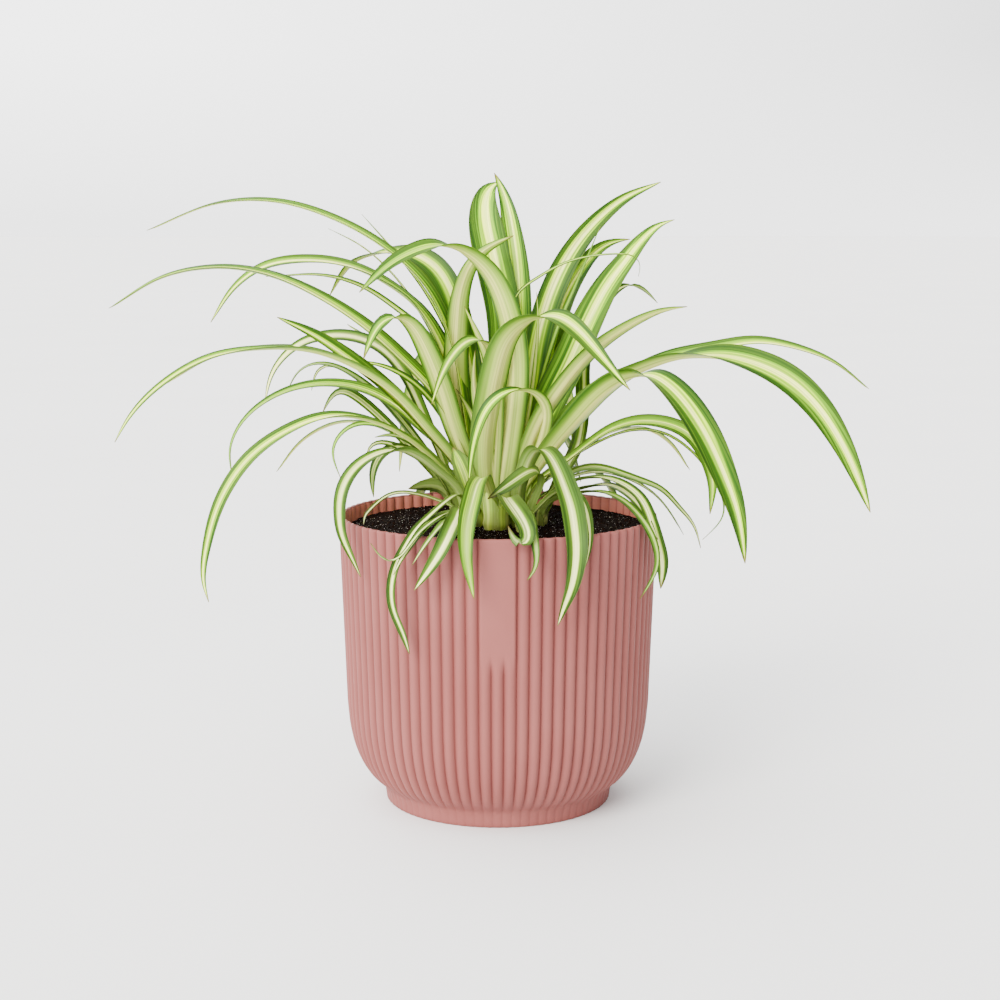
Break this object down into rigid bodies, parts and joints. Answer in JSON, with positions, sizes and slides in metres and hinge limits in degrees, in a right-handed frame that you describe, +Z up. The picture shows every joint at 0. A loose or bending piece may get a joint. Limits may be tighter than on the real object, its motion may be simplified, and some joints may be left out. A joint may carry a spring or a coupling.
{
  "type": "potted spider plant",
  "caption": "Spider plant with long arching striped leaves, growing from a soil-filled round pot with fine upright ribs and a narrow foot.",
  "frame": {"origin": "centre of the pot's underside, on the surface that the pot stands on", "axes": "+Z up along the pot's axis, -Y towards the front with the smooth panel, +X to the right seen from the front"},
  "size_m": [0.4408, 0.2871, 0.3632],
  "materials": {
    "pot": "moulded, matte, dusty rose",
    "soil": "loose dark potting soil with pale specks",
    "leaf": "fresh leaf, green margins and a cream middle stripe",
    "small_leaf": "fresh leaf, darker green with a whiter stripe"
  },
  "bodies": {
    "root": {"pot": "pot", "soil": "soil", "left_crown": "leaf", "centre_crown": "leaf", "right_crown": "leaf", "back_crown": "leaf", "front_left_offset": "small_leaf", "back_left_offset": "small_leaf", "front_right_offset": "small_leaf", "right_offset": "small_leaf", "back_right_offset": "small_leaf", "back_offset": "small_leaf"}
  },
  "joints": []
}
